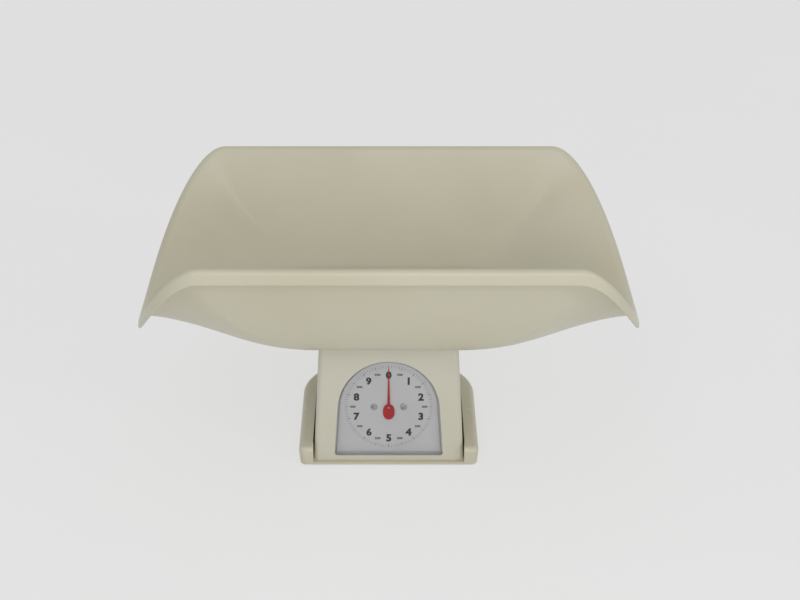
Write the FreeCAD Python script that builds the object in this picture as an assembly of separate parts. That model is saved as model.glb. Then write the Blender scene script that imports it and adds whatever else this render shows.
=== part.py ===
"""Dial baby weighing scale: open cradle tray on a spring mechanism in a tapered housing.

Millimetres, +Z up, the dial faces -Y. The origin lies on the ground under the middle of the
tray. Each function below makes one piece, and the end of the file writes one STEP per piece.
"""
import FreeCAD, Part
import os
from math import acos, atan2, cos, degrees, hypot, pi, radians, sin, tan

Vector = FreeCAD.Vector

# --- cradle tray -------------------------------------------------------------------------------
tray_floor_z = 152.5          # upper face of the tray's flat floor
tray_wall = 3.0
tray_straight_half = 189.0    # half length of the straight stretch of the rim
tray_end_reach = 74.0         # how far the rounded end of the rim runs beyond it
tray_half_depth = 151.0
tray_corner_fullness = 0.038  # share by which the rim's plan is fuller than an ellipse
tray_rim_z = 278.5            # rim crest along the two long sides
tray_end_z = 160.0            # rim crest at the middle of the two open ends
tray_rim_rise_power = 2.1     # how late the rim rises from an end to a side
floor_straight_half = 68.0
floor_end_reach = 108.5
floor_half_depth = 90.0
side_wall_angle = 72.0        # heading of the wall where it meets the rolled rim
end_wall_angle = -5.0
side_floor_pull = 0.22        # share of the run over which the wall leaves the floor
end_floor_pull = 0.285
side_wall_pull = 0.455        # share of the run over which it arrives at the rim
end_wall_pull = 0.125
side_roll_radius = 4.8
end_roll_radius = 11.5
side_skirt = 10.0             # straight skirt below the roll
end_skirt = 2.8
corner_skirt_gain = 3.9       # how much deeper the skirt hangs between an end and a side
skirt_angle = -82.0
tray_station_count = 5        # sections between the long side and the middle of an end
wall_band_count = 5           # bands of the wall between floor and roll
roll_band_count = 3

# --- base tub ----------------------------------------------------------------------------------
foot_height = 1.5
foot_radius = 8.0
foot_stem_radius = 4.0
foot_x = 62.0
foot_front_y = -70.0
foot_back_y = 62.0
base_floor = 3.0
base_wall = 2.5
base_height = 21.5
base_half = 100.0
base_flare_angle = 5.3        # the sides widen upwards by this angle
base_front = -92.0
base_back = 92.0
base_front_radius = 7.0
base_back_radius = 62.0
base_edge_radius = 6.0
well_clearance = 0.6
well_flare = 1.6

# --- tower casing ------------------------------------------------------------------------------
casing_wall = 2.5
tower_top_z = 135.0
tower_front = -87.0
tower_top_half = 76.0
tower_top_back = 63.0
tower_draft_angle = 3.07      # the sides and the back widen downwards by this angle
tower_corner_radius = 6.0
tower_top_edge_radius = 4.0
tower_lean = 11.0             # the dial face leans back by this angle
boss_radius = 4.5
boss_height = 20.0
boss_x = 74.5
boss_front_y = -70.0
boss_back_y = 58.0
boss_web = 2.0
casing_screw_radius = 1.7
under_screw_head = 1.5        # depth of the screw heads sunk in the base's underside
knob_slot_gap = 1.5

# --- window, lens and dial, measured up along the leaning face and inward from it ----------------
window_arch_radius = 56.0
window_arch_v = 60.0
window_half_bottom = 60.0
window_bottom_v = 5.0
window_corner_radius = 3.0
lens_clearance = 0.3
lens_rim = 1.8
lens_plate = 2.0
lens_proud = 1.0
lens_flange = 3.0
lens_flange_thick = 1.4
dial_depth = 7.0
dial_thickness = 0.8
dial_margin = 1.5
dial_centre_v = 60.5
dial_screw_spacing = 32.6
dial_screw_radius = 1.5
dial_screw_head_radius = 3.8
dial_screw_head = 1.2
dial_screw_nut = 1.0          # how far the screw ends behind the bracket
dial_bush_gap = 0.3

# --- movement: arbor, pinion, rack ---------------------------------------------------------------
arbor_radius = 1.0
arbor_clearance = 0.05
arbor_front_depth = 3.4
bush_radius = 2.5
bush_flange = 0.6
bush_step = 1.0
bracket_sheet = 1.5
bracket_rear_depth = 40.0
bracket_half = 22.0
bracket_arm_half = 10.0
bracket_head = 7.0            # sheet above the arbor
bracket_drop = 22.0           # sheet below it, down to the folded web
gear_module = 0.3
pinion_teeth = 12
pinion_face = 4.0
pinion_depth = 31.5
tooth_root_half = 0.26
tooth_tip_half = 0.07
mesh_clearance = 0.08
pointer_depth = 4.4
pointer_thickness = 0.9
pointer_reach = 45.5
pointer_tip_half = 0.35
needle_half = 1.2
pointer_drop = 8.2            # how far the hub's round end lies below the arbor
pointer_hub_radius = 6.4
pointer_neck = 5.0            # where the hub has narrowed into the needle
pointer_socket_radius = 2.2
pointer_socket = 1.2

# --- chassis, levers and carriage ----------------------------------------------------------------
sheet = 2.0
chassis_half = 50.0
chassis_front = -40.0
chassis_back = 60.0
upright_front = -22.0
upright_back = 50.0
chassis_top = 112.0
lever_length = 50.0
lever_pivot_y = 42.0
lower_lever_z = 44.0
upper_lever_z = 90.0
lever_side_gap = 6.0          # from a lever's side to the outside of the upright
lever_bar = 9.0
lever_web_inset = 1.0
upright_window_low = 22.0     # the upright's window begins this far below the lower pivot
upright_window_high = 24.0    # and ends this far below the upper one
upright_window_front = 10.0
upright_window_back = 14.0
bridge_overhang = 8.0
pin_radius = 2.0
pin_clearance = 0.05
link_slot_clearance = 0.5
pin_head_step = 1.2
pin_head = 1.0
link_pin_gap = 0.5
post_x = 34.0
post_width = 12.0
post_thickness = 2.5
carriage_low_z = 24.0
strap_low_z = 72.0
strap_high_z = 88.0
platform_half = 62.0
platform_half_depth = 42.0
platform_sheet = 2.0
platform_corner_radius = 10.0
tray_screw_radius = 2.0
tray_screw_head_radius = 4.0
tray_screw_recess = 0.5
tray_screw_x = 50.0
tray_screw_y = 30.0
rack_width = 5.0
rack_depth = 7.0
rack_below = 4.0              # bar below the pinion's height at rest
rack_above = 7.0              # bar left above it when the tray is fully down
rack_arm = 6.0
rack_foot_half = 12.0
rack_foot_edge = 2.0
rack_gap_root_half = 0.20
rack_gap_tip_half = 0.46
rivet_radius = 1.6
rivet_head_radius = 2.9
rivet_head = 1.0

# --- springs and zero setting --------------------------------------------------------------------
spring_x = 20.0
spring_y = 31.0
spring_wire_radius = 1.0
spring_coil_radius = 6.0
spring_coil_groove = 0.6
spring_rib_count = 6          # raised groups of turns
spring_end_gap = 3.0          # straight wire between the coil and its plate
spring_bead_radius = 2.6
spring_bead = 2.0
spring_hole_gap = 0.3
sling_edge = 8.0              # plates run on this far beyond the springs
sling_slot_half = 9.0
sling_slot_edge = 6.0
hanger_thickness = 3.0
hanger_z = 98.0
hanger_edge = 8.0
hanger_front_edge = 6.0
zero_travel = 0.7
zero_slack = 0.3              # slot left beyond the hanger's travel
zero_screw_radius = 2.5
zero_screw_tail = 8.0
zero_collar_radius = 4.5
zero_collar = 2.0
zero_knob_radius = 13.0
zero_knob_height = 6.0
zero_knob_proud = 2.5
zero_knob_grooves = 24
zero_knob_groove_depth = 0.8
zero_knob_z = 114.5

# --- fasteners and fits --------------------------------------------------------------------------
hole_clearance = 0.1
post_slot_gap = 2.0
bracket_foot = 18.0
bracket_screw_x = 6.0
bracket_screw_radius = 1.4
bracket_screw_head_radius = 2.6
bracket_screw_head = 1.4
bracket_screw_set = 2.0       # how far behind the middle of the foot the screws sit
chassis_screw_x = 40.0
chassis_screw_front_y = -15.0
chassis_screw_back_y = 52.0
chassis_screw_radius = 1.6
chassis_screw_head_radius = 3.2
hanger_tab_y = 42.0
hanger_tab = 5.0
hanger_tab_gap = 0.3
cut_margin = 1.0              # how far cutting shapes run past the faces they open
pick_margin = 0.01            # slack with which edges are picked by their place

# --- worked out from the above -------------------------------------------------------------------
floor_top = foot_height + base_floor
base_top = foot_height + base_height
lean = radians(tower_lean)
tower_spread = (tower_top_z - floor_top) * tan(radians(tower_draft_angle))
tower_bottom_half = tower_top_half + tower_spread
tower_bottom_back = tower_top_back + tower_spread
pitch_radius = gear_module * pinion_teeth / 2
travel = 2 * pi * pitch_radius / cos(lean)      # one turn of the pointer
platform_top = tray_floor_z - tray_wall
platform_bottom = platform_top - platform_sheet
chassis_floor_top = floor_top + sheet
carriage_y = lever_pivot_y - lever_length
lever_half = chassis_half - lever_side_gap
lever_tilt = degrees(atan2(travel / 2, lever_length))
strap_front = carriage_y - post_width / 2
knob_back = tower_top_back + (tower_top_z - zero_knob_z) * tan(radians(tower_draft_angle))
knob_y = knob_back + zero_knob_proud - zero_knob_radius


def box(x_low, x_high, y_low, y_high, z_low, z_high):
    """Block between two corners."""
    size = (x_high - x_low, y_high - y_low, z_high - z_low)
    return Part.makeBox(*size, Vector(x_low, y_low, z_low))


def rod(start, direction, radius, length):
    """Cylinder from a point along a direction."""
    return Part.makeCylinder(radius, length, Vector(*start), Vector(*direction))


def across(radius, half_length, y, z):
    """Pin along X, centred on the middle plane."""
    return rod((-half_length, y, z), (1, 0, 0), radius, 2 * half_length)


def line(start, end):
    return Part.LineSegment(start, end).toShape()


def mirror_x(shape):
    return shape.mirror(Vector(0, 0, 0), Vector(1, 0, 0))


def top_edges(shape, z):
    """Edges that lie at the top of a shape."""
    return [edge for edge in shape.Edges if edge.BoundBox.ZMin > z - pick_margin]


def flat_face(corners):
    return Part.Face(Part.makePolygon(list(corners) + [corners[0]]))


def tapered_block(low, high, front_radius, back_radius):
    """Solid between two level rectangles (z, half width, front, back), its uprights rounded."""
    low_z, low_half, low_front, low_back = low
    high_z, high_half, high_front, high_back = high
    block = Part.makeWedge(-low_half, low_z, -low_back, -high_back, -high_half,
                           low_half, high_z, -low_front, -high_front, high_half)
    block.rotate(Vector(0, 0, 0), Vector(1, 0, 0), 90)
    height = high_z - low_z
    middle = (low_front + low_back) / 2
    for side, radius in ((-1, front_radius), (1, back_radius)):
        uprights = [edge for edge in block.Edges
                    if edge.BoundBox.ZLength > height / 2
                    and side * (edge.CenterOfMass.y - middle) > 0]
        block = block.makeFillet(radius, uprights)
    return block


def on_face(shape):
    """Lean a piece that was drawn upright behind the foot of the dial face."""
    leaned = shape.copy()
    leaned.rotate(Vector(0, tower_front, floor_top), Vector(1, 0, 0), -tower_lean)
    return leaned


def face_point(x, depth, v):
    """Point given by its depth behind the dial face and its height along it, drawn upright."""
    return Vector(x, tower_front + depth, floor_top + v)


def leaned_point(depth, v):
    """The same point on the middle plane, once it leans with the dial face."""
    return on_face(Part.Vertex(face_point(0, depth, v))).Point


def face_rod(x, v, depth, radius, length):
    """Cylinder that runs inward from the dial face."""
    return on_face(Part.makeCylinder(radius, length, face_point(x, depth, v), Vector(0, 1, 0)))


def face_prism(points, depth, thickness):
    """Plate with a straight-sided outline, parallel to the dial face."""
    outline = Part.makePolygon([face_point(x, depth, v) for x, v in points + points[:1]])
    return on_face(Part.Face(outline).extrude(Vector(0, thickness, 0)))


# --- tray ----------------------------------------------------------------------------------------

def blend(end_value, side_value, share):
    """Smooth change from the middle of an end (0) to the long side (1)."""
    weight = share * share * (3 - 2 * share)
    return end_value + (side_value - end_value) * weight


def bezier_points(poles, bands):
    """Points along a cubic Bezier curve, its two ends included."""
    points = []
    for step in range(bands + 1):
        t = step / bands
        shares = ((1 - t) ** 3, 3 * t * (1 - t) ** 2, 3 * t * t * (1 - t), t ** 3)
        point = Vector(0, 0, 0)
        for share, pole in zip(shares, poles):
            point = point + pole * share
        points.append(point)
    return points


def tray_section(foot, crest, outward, share):
    """Outline of the tray's wall: up from the foot, over the rolled rim and back below."""
    wall = radians(blend(end_wall_angle, side_wall_angle, share))
    skirt_turn = radians(skirt_angle)
    roll = blend(end_roll_radius, side_roll_radius, share)
    weight = blend(0, 1, share)
    skirt = blend(end_skirt, side_skirt, share) + corner_skirt_gain * 4 * weight * (1 - weight)
    run = Vector(crest.x - foot.x, crest.y - foot.y, 0)

    def heading(angle, length):
        return outward * (length * cos(angle)) + Vector(0, 0, length * sin(angle))

    def roll_point(angle, radius):
        return crest + outward * (-radius * sin(angle)) + Vector(0, 0, radius * cos(angle) - roll)

    def track(offset):
        """Points of the wall, the roll and the skirt, an offset below the upper face."""
        start = foot - Vector(0, 0, offset)
        top = roll_point(wall, roll - offset)
        pull = (top - start).Length * blend(end_wall_pull, side_wall_pull, share)
        lead = start + run * blend(end_floor_pull, side_floor_pull, share)
        points = bezier_points([start, lead, top - heading(wall, pull), top],
                               wall_band_count)
        turn_step = (skirt_turn - wall) / roll_band_count
        points += [roll_point(wall + turn_step * (i + 1), roll - offset)
                   for i in range(roll_band_count)]
        return points + [points[-1] + heading(skirt_turn, skirt)]

    return track(0) + track(tray_wall)[::-1]


def tray_station(angle, side=1):
    """Wall section at a plan angle: 0 is the middle of an end, 90 the start of the long side."""
    turn = radians(angle)
    across_end = Vector(side * cos(turn), sin(turn), 0)
    foot = Vector(side * floor_straight_half + floor_end_reach * across_end.x,
                  floor_half_depth * across_end.y, tray_floor_z)
    rise = abs(sin(turn)) ** tray_rim_rise_power
    fullness = 1 + tray_corner_fullness * sin(2 * turn) ** 2
    crest = Vector(side * tray_straight_half + tray_end_reach * fullness * across_end.x,
                   tray_half_depth * fullness * across_end.y,
                   tray_end_z + (tray_rim_z - tray_end_z) * rise)
    outward = Vector(tray_half_depth * across_end.x, tray_end_reach * across_end.y, 0)
    return tray_section(foot, crest, outward.normalize(), abs(angle) / 90)


def band(near_edge, far_edge):
    """Strip of surface between two curves that share their knots."""
    surface = Part.BSplineSurface()
    surface.buildFromPolesMultsKnots(
        [near_edge.getPoles(), far_edge.getPoles()], [2, 2], near_edge.getMultiplicities(),
        [0, 1], near_edge.getKnots(), False, False, 1, near_edge.Degree)
    return Part.Face(surface)


def closed_bands(curves):
    """One band between each curve and the next, and from the last back to the first."""
    return [band(curve, curves[i - 1]) for i, curve in enumerate(curves)]


def tray_end_curves(side):
    """The section's points, each followed round one end of the tray."""
    count = tray_station_count
    angles = [90 / count * i for i in range(-count, count + 1)]
    nudge = 0.01
    sections = [tray_station(angle, side) for angle in angles]
    before = tray_station(angles[0] + nudge, side)
    after = tray_station(angles[-1] - nudge, side)
    curves = []
    for i in range(len(sections[0])):
        points = [section[i] for section in sections]
        curve = Part.BSplineCurve()
        curve.interpolate(Points=points, Parameters=angles, Scale=False,
                          InitialTangent=(before[i] - points[0]) * (1 / nudge),
                          FinalTangent=(points[-1] - after[i]) * (1 / nudge))
        curves.append(curve)
    return curves


def tray_side_curves(angle):
    """The section's points, each joined straight from one end of the tray to the other."""
    curves = []
    for right, left in zip(tray_station(angle), tray_station(angle, -1)):
        curve = Part.BSplineCurve()
        curve.buildFromPolesMultsKnots([right, left], [2, 2], [0, 1], False, 1)
        curves.append(curve)
    return curves


def baby_tray():
    """Cradle tray: bands round the ends and along the sides, closed by a flat floor."""
    stretches = [tray_end_curves(1), tray_side_curves(90), tray_end_curves(-1),
                 tray_side_curves(-90)]
    faces = []
    for curves in stretches:
        faces += closed_bands(curves)[1:]
    for i in (0, -1):
        outline = Part.__sortEdges__([curves[i].toShape() for curves in stretches])
        faces.append(Part.Face(Part.Wire(outline)))
    shell = Part.makeCompound(faces)
    shell.sewShape()
    tray = Part.Solid(shell.Shells[0])
    if tray.Volume < 0:
        tray.reverse()
    for x in (-tray_screw_x, tray_screw_x):
        for y in (-tray_screw_y, tray_screw_y):
            tray = tray.cut(tray_screw(x, y, hole_clearance))
    return tray


# --- base and feet -------------------------------------------------------------------------------

def base_section(z, inset):
    """Level rectangle of the base at a height: z, half width, front and back."""
    half = base_half - (base_top - z) * tan(radians(base_flare_angle))
    return z, half - inset, base_front + inset, base_back - inset


def base_block(low, high, inset):
    """Outer form of the base between two heights, or the same form inset for its hollow."""
    return tapered_block(base_section(low, inset), base_section(high, inset),
                         base_front_radius - inset, base_back_radius - inset)


def well_block(low, high, grow):
    """The pocket that the tower stands in, flared towards its top."""
    gaps = [well_clearance + well_flare * (z - floor_top) / (base_top - floor_top) + grow
            for z in (low, high)]
    radius = tower_corner_radius + well_clearance + grow
    return tapered_block(tower_section(low, -gaps[0]), tower_section(high, -gaps[1]),
                         radius, radius)


def foot_points():
    return [(x, y) for x in (-foot_x, foot_x) for y in (foot_front_y, foot_back_y)]


def boss_points():
    return [(x, y) for x in (-boss_x, boss_x) for y in (boss_front_y, boss_back_y)]


def base_tub():
    """Base moulding: a floor, a hollow rim round the tower's pocket and a low front edge."""
    tub = base_block(foot_height, base_top, 0)
    tub = tub.makeFillet(base_edge_radius, top_edges(tub, base_top))
    low = foot_height - cut_margin
    high = base_top + cut_margin
    under = base_block(low, base_top - base_wall, base_wall)
    middle = well_block(low, high, base_wall)
    half = tower_bottom_half + well_clearance
    front_run = box(-half - base_wall, half + base_wall, base_front, boss_front_y, low, base_top)
    tub = tub.cut(under.cut(middle.fuse(front_run)))
    tub = tub.cut(well_block(floor_top, high, 0))
    tub = tub.cut(box(-half, half, base_front - cut_margin, boss_front_y, floor_top, high))
    for x, y in foot_points():
        tub = tub.cut(rod((x, y, 0), (0, 0, 1), foot_stem_radius, base_height))
    for x, y in boss_points():
        tub = tub.cut(casing_screw(x, y, hole_clearance))
    for x, y in chassis_screw_points():
        tub = tub.cut(chassis_screw(x, y, hole_clearance))
    return tub


def rubber_foot(x, y):
    pad = rod((x, y, 0), (0, 0, 1), foot_radius, foot_height)
    return pad.fuse(rod((x, y, foot_height), (0, 0, 1), foot_stem_radius, base_floor))


# --- tower casing --------------------------------------------------------------------------------

def tower_section(z, inset):
    """Level rectangle of the tower at a height: leaning front, slightly tapered sides and back."""
    spread = (tower_top_z - z) * tan(radians(tower_draft_angle)) - inset
    front = tower_front + (z - floor_top) * tan(lean)
    return z, tower_top_half + spread, front + inset, tower_top_back + spread


def tower_block(high, inset):
    """The tower's form from the base floor up to a height, inset by a wall."""
    radius = tower_corner_radius - inset
    return tapered_block(tower_section(floor_top, inset), tower_section(high, inset),
                         radius, radius)


def window_block(grow, depth, thickness):
    """Arched outline of the dial window, as a prism along the face's normal."""
    radius = window_arch_radius + grow
    corner_x = window_half_bottom + grow
    corner_v = window_bottom_v - grow
    reach = hypot(corner_x, window_arch_v - corner_v)
    touch = atan2(corner_v - window_arch_v, corner_x) + acos(radius / reach)
    touch_x = radius * cos(touch)
    touch_v = window_arch_v + radius * sin(touch)
    left = face_point(-corner_x, depth, corner_v)
    right = face_point(corner_x, depth, corner_v)
    right_touch = face_point(touch_x, depth, touch_v)
    left_touch = face_point(-touch_x, depth, touch_v)
    crown = face_point(0, depth, window_arch_v + radius)
    outline = Part.Wire([line(left, right), line(right, right_touch),
                         Part.Arc(right_touch, crown, left_touch).toShape(),
                         line(left_touch, left)])
    block = Part.Face(outline).extrude(Vector(0, thickness, 0))
    corners = [edge for edge in block.Edges
               if edge.BoundBox.YLength > thickness / 2
               and edge.BoundBox.ZMax < floor_top + corner_v + pick_margin]
    return on_face(block.makeFillet(window_corner_radius + grow, corners))


def casing_screw(x, y, clearance):
    """Screw up through the base floor into a boss; a clearance widens it into its hole."""
    head = rod((x, y, foot_height), (0, 0, 1), 2 * casing_screw_radius + clearance,
               under_screw_head)
    shank = rod((x, y, foot_height), (0, 0, 1), casing_screw_radius + clearance,
                base_floor + boss_height / 2)
    return head.fuse(shank)


def tower_casing():
    """Tower moulding: open below, arched window in front, slots in the roof and the back."""
    tower = tower_block(tower_top_z, 0)
    tower = tower.makeFillet(tower_top_edge_radius, top_edges(tower, tower_top_z))
    tower = tower.cut(tower_block(tower_top_z - casing_wall, casing_wall))
    tower = tower.cut(window_block(0, -window_corner_radius, 4 * casing_wall))
    slot_half = post_thickness / 2 + post_slot_gap
    slot_half_depth = post_width / 2 + post_slot_gap
    for x in (-post_x, post_x):
        tower = tower.cut(box(x - slot_half, x + slot_half, carriage_y - slot_half_depth,
                              carriage_y + slot_half_depth, tower_top_z - 2 * casing_wall,
                              tower_top_z + cut_margin))
    knob_half = zero_knob_radius - zero_knob_proud + cut_margin
    tower = tower.cut(box(-knob_half, knob_half, knob_y, tower_bottom_back + cut_margin,
                          zero_knob_z - knob_slot_gap,
                          zero_knob_z + zero_knob_height + knob_slot_gap))
    bound = tower_block(tower_top_z, casing_wall / 2)
    for x, y in boss_points():
        reach = tower_bottom_half if x > 0 else -tower_bottom_half
        boss = rod((x, y, floor_top), (0, 0, 1), boss_radius, boss_height)
        web = box(min(x, reach), max(x, reach), y - boss_web / 2, y + boss_web / 2, floor_top,
                  floor_top + boss_height)
        tower = tower.fuse(boss.fuse(web).common(bound))
        tower = tower.cut(casing_screw(x, y, 0))
    return tower


# --- window and dial -----------------------------------------------------------------------------

def dial_lens():
    """Clear cover: a dished window with a flange that lies behind the casing's wall."""
    outer = -lens_clearance
    inner = outer - lens_rim
    cup = window_block(outer, -lens_proud, lens_proud + dial_depth)
    flange = window_block(lens_flange, casing_wall + hole_clearance, lens_flange_thick)
    hollow = window_block(inner, lens_plate - lens_proud, dial_depth)
    return cup.fuse(flange).cut(hollow)


def dial_screw(x, clearance):
    head = face_rod(x, dial_centre_v, dial_depth - dial_screw_head,
                    dial_screw_head_radius + clearance, dial_screw_head)
    shank = face_rod(x, dial_centre_v, dial_depth, dial_screw_radius + clearance,
                     dial_thickness + bracket_sheet + dial_screw_nut)
    return head.fuse(shank)


def dial_plate():
    """Printed plate behind the lens, with holes for the arbor's bush and its two screws."""
    plate = window_block(dial_margin, dial_depth, dial_thickness)
    plate = plate.cut(face_rod(0, dial_centre_v, 0, bush_radius + dial_bush_gap,
                               2 * dial_depth))
    for x in (-dial_screw_spacing / 2, dial_screw_spacing / 2):
        plate = plate.cut(dial_screw(x, hole_clearance))
    return plate


# --- movement ------------------------------------------------------------------------------------

def movement_bracket():
    """Folded bracket: a front cheek behind the dial, a rear cheek, a web and a leg to the floor."""
    front_depth = dial_depth + dial_thickness
    cheek_top = dial_centre_v + bracket_head
    web_v = dial_centre_v - bracket_drop
    half = bracket_half
    arm = bracket_arm_half
    front = face_prism([(-half, web_v), (half, web_v), (half, cheek_top), (-half, cheek_top)],
                       front_depth, bracket_sheet)
    rear = face_prism([(-arm, web_v), (arm, web_v), (arm / 2, cheek_top), (-arm / 2, cheek_top)],
                      bracket_rear_depth, bracket_sheet)
    web = face_prism([(-arm, web_v), (arm, web_v), (arm, web_v + bracket_sheet),
                      (-arm, web_v + bracket_sheet)], front_depth,
                     bracket_rear_depth + bracket_sheet - front_depth)
    knee = leaned_point(bracket_rear_depth, web_v)
    leg = box(-arm, arm, knee.y, knee.y + bracket_sheet, chassis_floor_top,
              knee.z + bracket_sheet / 2)
    foot = box(-arm, arm, knee.y, knee.y + bracket_foot, chassis_floor_top,
               chassis_floor_top + bracket_sheet)
    bracket = front.fuse([rear, web, leg, foot])
    bracket = bracket.cut(face_rod(0, dial_centre_v, front_depth - cut_margin, bush_radius,
                                   bracket_rear_depth))
    for x in (-dial_screw_spacing / 2, dial_screw_spacing / 2):
        bracket = bracket.cut(dial_screw(x, 0))
    for x in (-bracket_screw_x, bracket_screw_x):
        bracket = bracket.cut(bracket_screw(x))
    return bracket


def bracket_screw(x):
    """Small screw through the bracket's foot into the chassis floor."""
    knee = leaned_point(bracket_rear_depth, dial_centre_v - bracket_drop)
    y = knee.y + bracket_foot / 2 + bracket_screw_set
    top = chassis_floor_top + bracket_sheet
    head = rod((x, y, top), (0, 0, 1), bracket_screw_head_radius, bracket_screw_head)
    return head.fuse(rod((x, y, floor_top), (0, 0, 1), bracket_screw_radius, top - floor_top))


def arbor_bush(depth):
    """Flanged bearing in one cheek of the bracket."""
    sleeve = face_rod(0, dial_centre_v, depth, bush_radius, bracket_sheet + bush_flange)
    flange = face_rod(0, dial_centre_v, depth + bracket_sheet, bush_radius + bush_step,
                      bush_flange)
    bore = face_rod(0, dial_centre_v, depth - cut_margin, arbor_radius + arbor_clearance,
                    bracket_sheet + bush_flange + 2 * cut_margin)
    return sleeve.fuse(flange).cut(bore)


def pointer_arbor():
    length = bracket_rear_depth + bracket_sheet + bush_flange + bush_step - arbor_front_depth
    return face_rod(0, dial_centre_v, arbor_front_depth, arbor_radius, length)


def pinion():
    """Small gear on the arbor: one tooth points at the rack when the pointer reads zero."""
    points = []
    root = pitch_radius - 1.25 * gear_module
    tip = pitch_radius + gear_module
    for i in range(pinion_teeth):
        middle = 2 * pi * i / pinion_teeth
        for radius, half_width in ((root, tooth_root_half), (tip, tooth_tip_half),
                                   (tip, -tooth_tip_half), (root, -tooth_root_half)):
            angle = middle - half_width / radius
            points.append((radius * cos(angle), dial_centre_v + radius * sin(angle)))
    gear = face_prism(points, pinion_depth - pinion_face / 2, pinion_face)
    return gear.cut(face_rod(0, dial_centre_v, pinion_depth - pinion_face, arbor_radius,
                             2 * pinion_face))


def rack():
    """Upright rack whose teeth run along the arbor, with an arm and a foot to the carriage."""
    mesh = leaned_point(pinion_depth, dial_centre_v)
    front = mesh.y - rack_depth / 2
    foot_front = strap_front - sheet
    tip_x = pitch_radius - gear_module + mesh_clearance
    back_x = tip_x + rack_width
    arm_z = mesh.z + travel + rack_above
    arm_top = arm_z + rack_arm
    bar = box(tip_x, back_x, front, front + rack_depth, mesh.z - rack_below, arm_top)
    arm = box(tip_x, back_x, front, foot_front, arm_z, arm_top)
    foot = box(-rack_foot_half, rack_foot_half + tip_x, foot_front, strap_front,
               arm_z - rack_foot_edge, arm_top + rack_foot_edge)
    body = bar.fuse([arm, foot])
    pitch = pi * gear_module
    mouth_x = tip_x - gear_module
    root_x = tip_x + 2.25 * gear_module
    first = -round(rack_below / pitch)
    last = round((travel + rack_above - cut_margin) / pitch)
    for i in range(first, last):
        v = dial_centre_v + i * pitch
        gap = [(mouth_x, v - rack_gap_tip_half), (root_x, v - rack_gap_root_half),
               (root_x, v + rack_gap_root_half), (mouth_x, v + rack_gap_tip_half)]
        body = body.cut(face_prism(gap, pinion_depth - rack_depth, 2 * rack_depth))
    for x in rivet_points():
        body = body.cut(rack_rivet(x))
    return body


def rivet_points():
    return (-0.7 * rack_foot_half, rack_foot_half)


def rack_rivet(x):
    """Rivet through the rack's foot and the carriage's strap."""
    z = leaned_point(pinion_depth, dial_centre_v).z + travel + rack_above + rack_arm / 2
    foot_front = strap_front - sheet
    head = rod((x, foot_front - rivet_head, z), (0, 1, 0), rivet_head_radius, rivet_head)
    return head.fuse(rod((x, foot_front, z), (0, 1, 0), rivet_radius, sheet + post_thickness))


def pointer():
    """Slender pointer: a drop-shaped hub, round below the arbor, narrowing into the needle."""
    drop_v = dial_centre_v - pointer_drop
    neck_v = dial_centre_v + pointer_neck
    tip_v = dial_centre_v + pointer_reach
    fall = atan2(pointer_hub_radius - needle_half, neck_v - drop_v)
    shoulder_x = pointer_hub_radius * cos(fall)
    shoulder_v = drop_v + pointer_hub_radius * sin(fall)
    hub = face_rod(0, drop_v, pointer_depth, pointer_hub_radius, pointer_thickness)
    blade = face_prism([(-shoulder_x, shoulder_v), (shoulder_x, shoulder_v),
                        (needle_half, neck_v), (pointer_tip_half, tip_v),
                        (-pointer_tip_half, tip_v), (-needle_half, neck_v)],
                       pointer_depth, pointer_thickness)
    socket = face_rod(0, dial_centre_v, pointer_depth + pointer_thickness,
                      pointer_socket_radius, pointer_socket)
    body = hub.fuse([blade, socket])
    return body.cut(face_rod(0, dial_centre_v, 0, arbor_radius, 2 * dial_depth))


# --- chassis -------------------------------------------------------------------------------------

def chassis_screw_points():
    return [(x, y) for x in (-chassis_screw_x, chassis_screw_x)
            for y in (chassis_screw_front_y, chassis_screw_back_y)]


def chassis_screw(x, y, clearance):
    head = rod((x, y, foot_height), (0, 0, 1), chassis_screw_head_radius + clearance,
               under_screw_head)
    return head.fuse(rod((x, y, foot_height), (0, 0, 1), chassis_screw_radius + clearance,
                         base_floor + sheet))


def chassis_frame():
    """Folded steel frame: a floor, two uprights and a bridge over the springs."""
    floor = box(-chassis_half, chassis_half, chassis_front, chassis_back, floor_top,
                chassis_floor_top)
    frame = floor
    for side in (-1, 1):
        low = min(side * chassis_half, side * (chassis_half - sheet))
        upright = box(low, low + sheet, upright_front, upright_back, floor_top, chassis_top)
        window = box(low - cut_margin, low + sheet + cut_margin,
                     upright_front + upright_window_front, lever_pivot_y - upright_window_back,
                     lower_lever_z - upright_window_low, upper_lever_z - upright_window_high)
        frame = frame.fuse(upright.cut(window))
    bridge = box(-chassis_half, chassis_half, spring_y - bridge_overhang,
                 knob_y + bridge_overhang, chassis_top - sheet, chassis_top)
    frame = frame.fuse(bridge)
    for z in (lower_lever_z, upper_lever_z):
        frame = frame.cut(across(pin_radius, 2 * chassis_half, lever_pivot_y, z))
    frame = frame.cut(rod((0, knob_y, chassis_floor_top), (0, 0, 1),
                          zero_screw_radius + pin_clearance, chassis_top))
    slack = zero_travel + zero_slack
    frame = frame.cut(box(-chassis_half - cut_margin, chassis_half + cut_margin,
                          hanger_tab_y - hanger_tab_gap,
                          hanger_tab_y + hanger_tab + hanger_tab_gap,
                          hanger_z - slack, hanger_z + hanger_thickness + slack))
    for x, y in chassis_screw_points():
        frame = frame.cut(chassis_screw(x, y, 0))
    for x in (-bracket_screw_x, bracket_screw_x):
        frame = frame.cut(bracket_screw(x))
    return frame


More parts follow.
